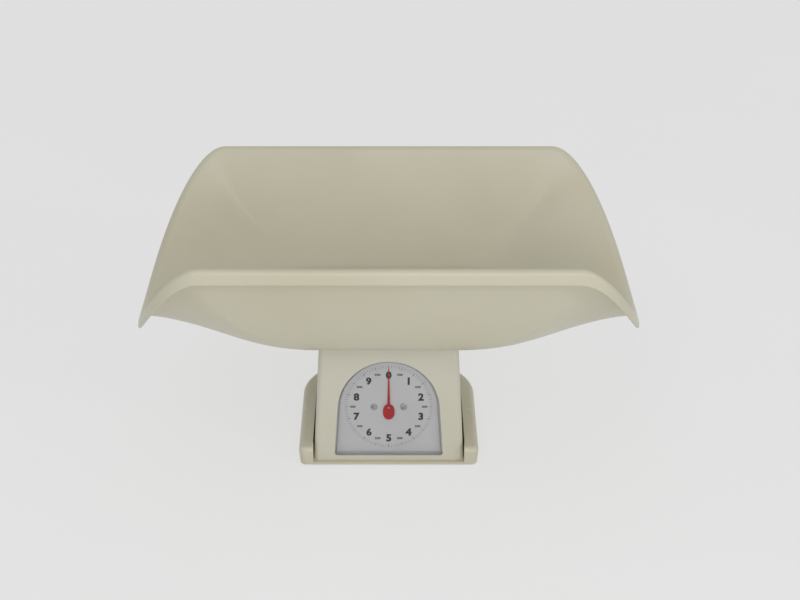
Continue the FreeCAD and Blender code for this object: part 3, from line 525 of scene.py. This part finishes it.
def tray_mesh():
    """Sections carried round both ends, joined along the sides, and a floor with screw holes."""
    close_from = 60.0
    near_side = np.linspace(close_from, 90, 13)
    round_end = np.linspace(-close_from, close_from, 49)[1:-1]
    angles = np.concatenate([-near_side[::-1], round_end, near_side])
    rings = np.concatenate([tray_sections(angles, 1), tray_sections(angles[::-1], -1)])
    sheet = (rings, grid_faces(*rings.shape[:2], close_rows=True))
    points, faces = join_parts([sheet] + [tray_hole(x, y) for x, y in TRAY_SCREWS])
    mesh = bpy.data.meshes.new("tray_shell")
    mesh.from_pydata((np.array(points) * MM).tolist(), [], faces)
    work = bmesh.new()
    work.from_mesh(mesh)
    middle = (TRAY["floor_z"] - TRAY["wall"] / 2) * MM
    open_edges = [edge for edge in work.edges if edge.is_boundary]
    for upper in (True, False):
        level = [edge for edge in open_edges if (edge.verts[0].co.z > middle) == upper]
        bmesh.ops.triangle_fill(work, use_beauty=True, edges=level)
    bmesh.ops.recalc_face_normals(work, faces=work.faces)
    work.to_mesh(mesh)
    work.free()
    return mesh


tray_shell = add_piece(tray_mesh(), "tray_carriage", tray_ivory, ["baby_tray"])

# %% [markdown]
# ## A place on the dial face
# The front of the tower leans back, and window, cover and dial lie parallel to it. It is
# easier to draw them upright, as a height along the face and a depth behind it, and to lean
# them afterwards. One function does that for whole arrays.

# %% Leaning a drawing onto the face
TOWER_FRONT, FLOOR_TOP, LEAN = -87.0, 4.5, radians(11.0)
DIAL_V, DIAL_DEPTH = 60.5, 7.0


def lean_back(points):
    """From (across, height along the face, depth behind it) to the scale's own axes."""
    x, v, depth = np.moveaxis(np.asarray(points, float), -1, 0)
    return np.stack([x, TOWER_FRONT + v * sin(LEAN) + depth * cos(LEAN),
                     FLOOR_TOP + v * cos(LEAN) - depth * sin(LEAN)], axis=-1)


print("dial's centre:", lean_back([0, DIAL_V, DIAL_DEPTH]).round(1), "mm")

# %% [markdown]
# ## The clear cover
# The cover is a shallow dish with the window's arched outline. Its front is crowned a little,
# its edge is rounded where it stands out of the casing, and a flange behind the wall holds it.
# The outline is one parameter and a profile drawn across it is the other: each profile point
# is a distance outside the window's edge and a depth. The front is filled by shrinking the
# outline towards its middle.

# %% The window's outline
def window_outline():
    """Points and outward directions round the arch: foot, two small corners, sides and arch.

    The sides touch the arch where a line from the foot's end is square to the arch's radius.
    """
    arch, arch_v, half, low, corner = 56.0, 60.0, 60.0, 5.0, 3.0
    reach = np.hypot(half, arch_v - low)
    touch = atan2(low - arch_v, half) + np.arccos(arch / reach)
    side = np.array([cos(touch), sin(touch)])
    # the corner's centre is one radius inside both the foot and the slanted side
    centre_v = low + corner
    centre_x = (arch - corner + (arch_v - centre_v) * side[1]) / side[0]
    arcs = [((centre_x, centre_v), corner, -pi / 2, touch, 7),
            ((0.0, arch_v), arch, touch, pi - touch, 56),
            ((-centre_x, centre_v), corner, pi - touch, 1.5 * pi, 7)]
    points, normals = [], []
    for centre, radius, first, last, number in arcs:
        turn = np.linspace(first, last, number)
        normal = np.column_stack([np.cos(turn), np.sin(turn)])
        points.append(np.array(centre) + radius * normal)
        normals.append(normal)
    return np.concatenate(points), np.concatenate(normals)


print("window's outline:", len(window_outline()[0]), "points")

# %% The cover
def cover_mesh():
    """Profile carried round the outline; the front and the hollow close towards the middle.

    The crown falls off with the square of the distance from the middle.
    """
    outline, normal = window_outline()
    middle = np.array([0.0, 56.0])
    edge = np.linspace(0, pi / 2, 7)
    out, front, crown, hollow_depth = -0.3, -1.0, 0.5, 1.0
    edge_radius, wall, inner_corner = 1.3, 1.8, 0.6
    flange, flange_front, flange_back = 3.0, 2.6, 4.0
    rounded = [(out - edge_radius + edge_radius * sin(a), front + edge_radius * (1 - cos(a)))
               for a in edge]
    profile = rounded + [(out, flange_front), (flange, flange_front), (flange, flange_back),
                         (out, flange_back), (out, DIAL_DEPTH), (out - wall, DIAL_DEPTH),
                         (out - wall, hollow_depth + inner_corner),
                         (out - wall - inner_corner, hollow_depth)]
    rows = [np.column_stack([outline + normal * grow, np.full(len(outline), depth)])
            for grow, depth in profile]

    def shrunk(row, share, depth):
        """A line of points drawn in to a share of its distance from the middle."""
        flat = middle + (row[:, :2] - middle) * share
        return np.column_stack([flat, np.full(len(row), depth)])

    shares = np.linspace(0, 1, 9)[:-1]
    fronts = [shrunk(rows[0], s, front - crown * (1 - s * s)) for s in shares]
    backs = [shrunk(rows[-1], s, hollow_depth - crown * (1 - s * s)) for s in shares[::-1]]
    grid = np.stack(fronts + rows + backs)
    faces = grid_faces(*grid.shape[:2], close_columns=True)
    return make_mesh("dial_cover", lean_back(grid), faces)


dial_cover = add_piece(cover_mesh(), "scale_housing", window_clear,
                       ["dial_lens"], 50.0)

# %% [markdown]
# ## The printed dial
# Ten kilograms go once round: a long mark and a large number at each kilogram, a middle mark
# and a small number half way, and fine marks for every hundred grams. Each mark is a thin block
# of ink, and all of them are worked out in one go from their turn, their length and their
# width. Numbers are text curves turned into mesh, scaled to a measured height and set upright
# about the dial's centre.

# %% The graduations
INK = 0.06


def graduation_parts(turns, inner, outer, width):
    """Thin blocks of ink along radii of the dial, at turns clockwise from the top.

    A block has eight corners: inner or outer end, left or right of the radius, front or back.
    """
    along = np.array([inner, outer])[None, :, None, None]
    half = np.array([-0.5, 0.5])[None, None, :, None] * width
    depth = np.array([DIAL_DEPTH, DIAL_DEPTH - INK])[None, None, None, :]
    s, c = np.sin(turns)[:, None, None, None], np.cos(turns)[:, None, None, None]
    x = along * s + half * c + 0 * depth
    v = DIAL_V + along * c - half * s + 0 * depth
    blocks = np.stack([x, v, depth + 0 * x], axis=-1).reshape(len(turns), 8, 3)
    corners = np.array([[0, 1, 3, 2], [4, 6, 7, 5], [0, 4, 5, 1], [2, 3, 7, 6], [0, 2, 6, 4],
                        [1, 5, 7, 3]])
    faces = (corners[None] + 8 * np.arange(len(turns))[:, None, None]).reshape(-1, 4).tolist()
    return lean_back(blocks), faces


MARK_OUTER = 48.6
hundreds = np.arange(100)
# which hundreds of grams, the radius where their marks begin, and the marks' width
kinds = ((hundreds % 10 == 0, 44.4, 0.6), (hundreds % 10 == 5, 44.8, 0.5),
         (hundreds % 5 != 0, 45.6, 0.3))
marks = join_parts([graduation_parts(hundreds[chosen] * 2 * pi / 100, inner, MARK_OUTER, width)
                    for chosen, inner, width in kinds])
graduations = add_piece(make_mesh("dial_graduations", *marks), "scale_housing",
                        grey_ink)

# %% The numbers
def number_part(text, turn, height, radius, spread, weight=0.05):
    """A number as thin blocks of ink, of a measured height, upright at a turn and radius.

    Weight fattens the letters before they are scaled, and spread makes them wider.
    """
    curve = bpy.data.curves.new("number", "FONT")
    curve.body = text
    curve.offset = weight
    curve.extrude = 0.01
    curve.resolution_u = 3
    holder = bpy.data.objects.new("number", curve)
    bpy.context.scene.collection.objects.link(holder)
    bpy.context.view_layer.update()
    mesh = bpy.data.meshes.new_from_object(holder.evaluated_get(
        bpy.context.evaluated_depsgraph_get()))
    points = np.zeros(len(mesh.vertices) * 3)
    mesh.vertices.foreach_get("co", points)
    points = points.reshape(-1, 3)
    faces = [list(polygon.vertices) for polygon in mesh.polygons]
    bpy.data.objects.remove(holder)
    bpy.data.curves.remove(curve)
    bpy.data.meshes.remove(mesh)
    low, high = points.min(0), points.max(0)
    size = height / (high[1] - low[1])
    flat = (points - (low + high) / 2) * (size * spread, size, 1)
    depth = DIAL_DEPTH - INK / 2 - np.sign(flat[:, 2]) * INK / 2
    x = radius * sin(turn) + flat[:, 0]
    v = DIAL_V + radius * cos(turn) + flat[:, 1]
    return lean_back(np.column_stack([x, v, depth])), faces


KILOGRAM_TURN = 2 * pi / 10
kilograms = [number_part(str(i), i * KILOGRAM_TURN, 9.0, 37.3, 1.06) for i in range(10)]
halves = [number_part("500", (i + 0.5) * KILOGRAM_TURN, 2.7, 39.6, 1.25) for i in range(10)]
numbers = add_piece(make_mesh("dial_numbers", *join_parts(kilograms)), "scale_housing",
                    black_ink)
half_numbers = add_piece(make_mesh("dial_half_numbers", *join_parts(halves)), "scale_housing",
                         grey_ink)

# %% [markdown]
# ## The pointer
# The pointer is one thin pressing: an oval hub that hangs below the arbor and narrows into a
# long needle. Its half width along the blade is the hub's oval and the needle's taper blended
# by a power mean, so the two flow into each other. Across the blade the front is bowed, as a
# coat of paint draws it, and a short collar behind the hub grips the arbor.

# %% The pointer's shape
POINTER = {"tip": 45.3, "hub_middle": -5.5, "hub_half": 6.3, "hub_high": 8.9,
           "root_half": 1.6, "tip_half": 0.4, "depth": 4.95, "front_bow": 0.55, "back_bow": 0.35}


def pointer_mesh():
    """Grid of height along the blade and turn round its section, and a collar on the arbor.

    The hub is a fuller oval than an ellipse. Half width is the cube root of the hub's cubed
    half width and the needle's, added up, and a hair more, which keeps both ends open. The bow
    is shallower where the blade is narrow.
    """
    p = POINTER
    v = np.concatenate([p["hub_middle"] - p["hub_high"] * np.cos(np.linspace(0, pi, 41)),
                        np.linspace(p["hub_middle"] + p["hub_high"], p["tip"], 30)[1:]])
    reach = np.abs((v - p["hub_middle"]) / p["hub_high"])
    hub = p["hub_half"] * np.clip(1 - reach ** 2.5, 0, 1) ** (1 / 2.2)
    taper = p["root_half"] - (p["root_half"] - p["tip_half"]) * np.clip(v, 0, p["tip"]) / p["tip"]
    needle = np.where(v > p["hub_middle"], taper, 0.0)
    half = (hub ** 3 + needle ** 3) ** (1 / 3) + 0.01
    turn = np.arange(16) * 2 * pi / 16
    x = half[:, None] * np.cos(turn)
    bow = np.where(np.sin(turn) > 0, p["front_bow"], p["back_bow"]) * np.sin(turn)
    depth = p["depth"] - bow * np.clip(half / 1.2, 0.3, 1.0)[:, None]
    blade = np.stack([x, DIAL_V + v[:, None] + 0 * x, depth], axis=-1)
    turn = turn[:, None]
    # each pair is a radius and a depth on the collar's outline, which closes on the axis
    outline = ((0.02, 5.1), (2.2, 5.1), (2.2, 6.5), (1.05, 6.5), (0.02, 6.45))
    collar = [np.hstack([r * np.cos(turn), DIAL_V + r * np.sin(turn), d + 0 * turn])
              for r, d in outline]
    points, faces = join_parts([
        (blade, grid_faces(len(v), len(turn), close_columns=True)),
        (np.stack(collar), grid_faces(len(outline), len(turn), close_columns=True))])
    return make_mesh("pointer_blade", lean_back(points), faces)


pointer_blade = add_piece(pointer_mesh(), "pointer_assembly", pointer_red,
                          ["pointer"], 60.0)

# %% [markdown]
# ## Slotted screws
# Two screws with low, flat heads hold the dial and four countersunk ones hold the tray. A
# head is a grid of lines across its slot: each line keeps its own distance from the middle, so
# the slot's two edges fall exactly on lines and stay crisp. The back of the head repeats the
# grid, at the same size for a flat head and smaller for a countersunk one.

# %% A slotted head
def slotted_head(radius, dome, depth, back_radius, slot_half, slot_depth):
    """Closed head as (across, along, height) points: crowned front with a slot, flat back.

    The front falls from the crown with the square of the distance from the middle.
    """
    lines = 9
    side = slot_half + (radius - slot_half) * np.sin(np.linspace(0, pi / 2, lines))
    across = np.concatenate([-side[::-1], [-slot_half, slot_half], side])
    sunk = np.zeros(len(across))
    sunk[lines:lines + 2] = slot_depth
    run = np.sin(np.linspace(-pi / 2, pi / 2, 17))
    x = across[:, None] + 0 * run
    y = np.sqrt(np.maximum(radius ** 2 - x ** 2, 0)) * run
    bulge = dome * (1 - (x ** 2 + y ** 2) / radius ** 2)
    front = np.stack([x, y, bulge - sunk[:, None]], axis=-1)
    scale = back_radius / radius
    back = np.stack([x * scale, y * scale, -depth + 0 * x], axis=-1)
    index = np.arange(x.size).reshape(x.shape)
    border = np.concatenate([index[0, :-1], index[:-1, -1], index[-1, :0:-1], index[:0:-1, 0]])
    after = np.roll(border, -1)
    rim = np.column_stack([border, after, after + x.size, border + x.size])
    faces = np.array(grid_faces(*x.shape))
    points = np.concatenate([front.reshape(-1, 3), back.reshape(-1, 3)])
    return points, np.concatenate([faces, faces[:, ::-1] + x.size, rim]).tolist()


def shank_part(radius, top, bottom):
    """Closed shank about the local height axis: circles that shrink to the axis at both ends."""
    turn = np.arange(20) * 2 * pi / 20
    rings = [(radius * 0.02, top), (radius, top), (radius, bottom), (radius * 0.02, bottom)]
    grid = np.stack([np.column_stack([r * np.cos(turn), r * np.sin(turn), 0 * turn + h])
                     for r, h in rings])
    return grid.reshape(-1, 3), grid_faces(len(rings), len(turn), close_columns=True)


flat_head_depth = 1.0
flat_screw = (slotted_head(radius=3.8, dome=0.2, depth=flat_head_depth, back_radius=3.8,
                           slot_half=0.5, slot_depth=0.6),
              shank_part(radius=1.4, top=-0.8, bottom=-3.9))
sunk_screw = (slotted_head(radius=4.0, dome=0.0, depth=2.0, back_radius=2.0,
                           slot_half=0.5, slot_depth=0.9),
              shank_part(radius=2.0, top=-1.9, bottom=-5.0))
print("faces of a flat head and a sunk head:", len(flat_screw[0][1]), len(sunk_screw[0][1]))

# %% The screws in place
def turned_screw(screw, x, y, turn):
    """Head and shank turned about the screw's own axis and moved to their place."""
    parts = []
    for points, faces in screw:
        across = points[:, 0] * cos(turn) - points[:, 1] * sin(turn)
        along = points[:, 0] * sin(turn) + points[:, 1] * cos(turn)
        parts.append((np.column_stack([x + across, y + along, points[:, 2]]), faces))
    return parts


# a dial screw's height runs towards the eye, so it is taken away from the depth of its front
head_front = np.array([0.0, 0.0, DIAL_DEPTH - flat_head_depth])
dial_heads = [(lean_back(head_front + points * (1, 1, -1)), faces)
              for x, turn in ((-16.3, 0.5), (16.3, -0.9))
              for points, faces in turned_screw(flat_screw, x, DIAL_V, turn)]
tray_heads = [(points + UP * TRAY["floor_z"], faces)
              for (x, y), turn in zip(TRAY_SCREWS, (0.3, 2.0, 1.2, 0.8))
              for points, faces in turned_screw(sunk_screw, x, y, turn)]
dial_screws = add_piece(make_mesh("dial_screw_heads", *join_parts(dial_heads)), "scale_housing",
                        plated_steel, ["dial_screws"])
tray_screws = add_piece(make_mesh("tray_screw_heads", *join_parts(tray_heads)), "tray_carriage",
                        plated_steel, ["tray_screws"])

# %% [markdown]
# ## The two springs
# The solid model has each spring as a ribbed tube, because a coil of round wire costs many
# facets. Here the wire is wound for real: its centre line turns about an upright axis, and
# near both ends its radius closes to nothing so that the wire runs straight through the plate
# that holds it and ends in a bead. The upper end stays with the housing and the lower end
# goes down with the tray, so the real spring stretches; the piece here rides on no body.

# %% Wire along a path
def wire_part(path, reference, radius, sides=10):
    """Tube round a path: at each point a circle in the plane across the path's direction.

    Both ends close with a circle that is all but a point.
    """
    ahead = np.gradient(path, axis=0)
    ahead /= np.linalg.norm(ahead, axis=1, keepdims=True)
    first = reference - (reference * ahead).sum(1, keepdims=True) * ahead
    first /= np.linalg.norm(first, axis=1, keepdims=True)
    second = np.cross(ahead, first)
    turn = np.arange(sides) * 2 * pi / sides
    ring = (first[:, None] * np.cos(turn)[None, :, None]
            + second[:, None] * np.sin(turn)[None, :, None])
    grid = path[:, None] + ring * radius
    grid = np.concatenate([path[:1, None] + ring[:1] * 0.001, grid,
                           path[-1:, None] + ring[-1:] * 0.001])
    return grid.reshape(-1, 3), grid_faces(len(grid), sides, close_columns=True)


def bead_part(centre, radius, height):
    """Round bead about an upright axis: a circle squashed to its height and turned once."""
    tilt = np.linspace(-pi / 2, pi / 2, 9)
    turn = np.arange(16) * 2 * pi / 16
    wide = np.maximum(radius * np.cos(tilt), 0.01)[:, None]
    grid = np.stack([centre[0] + wide * np.cos(turn), centre[1] + wide * np.sin(turn),
                     centre[2] + height / 2 * np.sin(tilt)[:, None] + 0 * turn], axis=-1)
    return grid.reshape(-1, 3), grid_faces(len(tilt), len(turn), close_columns=True)


print("faces of a bead:", len(bead_part((0.0, 0.0, 0.0), 1.0, 1.0)[1]))

# %% The springs
SPRING = {"x": 20.0, "y": 31.0, "low": 19.5, "high": 102.8, "coil": 6.0, "wire": 1.0,
          "coil_low": 29.0, "coil_high": 93.0, "turns": 27, "bead": (2.6, 2.4)}


def spring_parts(x):
    """Wound wire: turn grows with height between the coil's ends, radius eases to the axis."""
    s = SPRING
    points_a_turn, end_points = 18, 12
    z = np.concatenate([np.linspace(s["low"], s["coil_low"], end_points)[:-1],
                        np.linspace(s["coil_low"], s["coil_high"], s["turns"] * points_a_turn),
                        np.linspace(s["coil_high"], s["high"], end_points)[1:]])
    share = np.clip((z - s["coil_low"]) / (s["coil_high"] - s["coil_low"]), 0, 1)
    turn = share * s["turns"] * 2 * pi
    ends = np.minimum(share, 1 - share) * s["turns"]
    ease = np.clip(ends, 0, 1)
    radius = s["coil"] * ease * ease * (3 - 2 * ease)
    out = np.column_stack([np.cos(turn), np.sin(turn), 0 * turn])
    path = np.array([x, s["y"], 0.0]) + out * radius[:, None] + UP * z[:, None]
    return [wire_part(path, out, s["wire"]), bead_part((x, s["y"], s["low"]), *s["bead"]),
            bead_part((x, s["y"], s["high"]), *s["bead"])]


both_springs = join_parts(spring_parts(-SPRING["x"]) + spring_parts(SPRING["x"]))
springs = add_piece(make_mesh("wound_springs", *both_springs), None,
                    spring_steel, ["main_springs"], 60.0)
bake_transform(springs)

# %% [markdown]
# ## Finishes for the pieces of the solid model
# Every other piece keeps its solid shape and only gets its finish, through the slots that its
# object already has. Which finish goes where is written as one table, by piece.

# %% Dressing the solid pieces
finishes = {
    "base_tub": base_ivory, "tower_casing": case_ivory, "baby_tray": tray_ivory,
    "dial_lens": window_clear, "dial_plate": dial_coat, "pointer": pointer_red,
    "rubber_feet": foot_rubber, "zero_knob": wheel_plastic, "pinion": brass,
    "arbor_bushes": brass, "rack": brass, "pointer_arbor": plated_steel,
    "dial_screws": plated_steel, "tray_screws": plated_steel, "casing_screws": plated_steel,
    "chassis_screws": plated_steel, "bracket_screws": plated_steel, "rack_rivets": plated_steel,
    "carriage_pins": plated_steel, "lever_pivot_pins": plated_steel, "zero_screw": plated_steel,
    "main_springs": spring_steel, "spring_hanger": sheet_steel, "chassis_frame": sheet_steel,
    "carriage_frame": sheet_steel, "platform_plate": sheet_steel, "upper_lever": sheet_steel,
    "lower_lever": sheet_steel, "movement_bracket": sheet_steel,
}
for name, node in nodes.items():
    for place in node.material_slots:
        place.material = finishes[name]
print("dressed:", len(nodes), "solid pieces")

# %% [markdown]
# ## Floor and sky
# The scale stands on a plain pale floor that runs on past the picture, under a pale sky. Where
# the floor is seen, it is blended with its own plain colour, which keeps the soft shadow but
# not the lamps' falling-off. Gloss and clear plastic see the same plain floor and sky as the
# camera does, so that no reflection shows a darker room.

# %% The floor
PALE = colour(225, 225, 225)


def seen(paint):
    """1 for rays that show the surroundings: to the camera, in a gloss or through glass."""
    camera, gloss, glass = (paint.add("ShaderNodeLightPath", output=kind) for kind in
                            ("Is Camera Ray", "Is Glossy Ray", "Is Transmission Ray"))
    return camera.math("MAXIMUM", camera, gloss.math("MAXIMUM", gloss, glass))


def floor_material():
    """Matt pale paint, mostly replaced by a plain even tone for the rays that show it."""
    paint = Paint("pale_floor")
    speck = paint.noise(3.0, 2.0)
    pale = paint.mix(paint.between(speck, 0.3, 0.7), colour(226, 226, 226),
                     colour(223, 223, 223))
    matt = paint.shade({"Base Color": pale, "Roughness": 0.9, "Specular IOR Level": 0.2})
    plain = paint.add("ShaderNodeEmission", None, {"Color": PALE, "Strength": 1.20})
    blended = paint.add("ShaderNodeMixShader", None, {0: seen(paint) * 0.66, 1: matt, 2: plain})
    return paint.done(blended)


floor_radii = (10.0, 1000.0, 4000.0, 16000.0)
turns = np.arange(64) * 2 * pi / 64
rings = np.stack([np.column_stack([r * np.cos(turns), r * np.sin(turns), 0 * turns])
                  for r in floor_radii])
floor_faces = grid_faces(*rings.shape[:2], close_columns=True) + [list(range(len(turns)))]
floor_mesh = make_mesh("floor", rings, floor_faces)
floor_mesh.materials.append(floor_material())
floor = bpy.data.objects.new("floor", floor_mesh)
bpy.context.scene.collection.objects.link(floor)
print("floor:", 2 * floor_radii[-1] * MM, "m across")

# %% The sky
sky = bpy.data.worlds.new("pale_sky")
bpy.context.scene.world = sky
sky_paint = Paint("pale_sky", sky)
lit = sky_paint.add("ShaderNodeBackground", None, {"Color": (1, 1, 1, 1), "Strength": 0.5})
shown = sky_paint.add("ShaderNodeBackground", None, {"Color": PALE, "Strength": 1.0})
both = sky_paint.add("ShaderNodeMixShader", None, {0: seen(sky_paint), 1: lit, 2: shown})
sky_paint.add("ShaderNodeOutputWorld", None, {"Surface": both})
print("sky:", sky.name)

# %% [markdown]
# ## Lamps
# Two large soft lamps in front, one low and one high, give most of the light. Small ones from
# the sides shape the ends of the tray, and a narrow upright one draws a soft line down the
# tower. Together with the sky they light it so that colours show about as they are written.

# %% The lamps
def soft_lamp(name, place, target, width, height, power):
    """Flat lamp of a width and height in metres that faces a point."""
    data = bpy.data.lights.new(name, "AREA")
    data.shape = "RECTANGLE"
    data.size, data.size_y = width, height
    data.energy = power
    lamp = bpy.data.objects.new(name, data)
    lamp.location = place
    lamp.rotation_euler = (Vector(target) - Vector(place)).to_track_quat("-Z", "Y").to_euler()
    bpy.context.scene.collection.objects.link(lamp)


# name, place and target in metres, width, height, power in watts
for lamp in (("low_lamp", (0.1, -1.7, 0.62), (0, 0, 0.15), 1.0, 1.0, 6.6),
             ("high_lamp", (-0.8, -1.7, 2.3), (0, 0, 0.15), 1.3, 1.3, 4.8),
             ("right_lamp", (2.5, -1.3, 1.2), (0, 0, 0.15), 0.35, 0.35, 9.0),
             ("left_lamp", (-2.5, -1.3, 1.2), (0, 0, 0.15), 0.25, 0.25, 1.0),
             ("strip_lamp", (0.21, -2.2, 1.2), (0, 0, 0.2), 0.08, 0.9, 0.7)):
    soft_lamp(*lamp)
print("lamps:", len(bpy.data.lights))

# %% [markdown]
# ## Camera
# The camera looks down on the scale from the front. Its place follows from the angle and the
# distance to a target near the scale's middle, and a small shift sets the scale a little left
# of the picture's middle. The view transform is Standard, which shows colours as they are.

# %% The camera
CAMERA = {"elevation": radians(29.3), "distance": 1.7, "lens": 68.85, "shift": 0.0141,
          "target": Vector((0, 0, 0.159))}
camera_data = bpy.data.cameras.new("camera")
camera_data.lens = CAMERA["lens"]
camera_data.sensor_width = 36.0
camera_data.shift_x = CAMERA["shift"]
camera = bpy.data.objects.new("camera", camera_data)
back = Vector((0, -cos(CAMERA["elevation"]), sin(CAMERA["elevation"])))
camera.location = CAMERA["target"] + back * CAMERA["distance"]
camera.rotation_euler = (-back).to_track_quat("-Z", "Y").to_euler()
bpy.context.scene.collection.objects.link(camera)
bpy.context.scene.camera = camera
bpy.context.scene.view_settings.view_transform = "Standard"
print("camera at", tuple(round(value, 3) for value in camera.location))
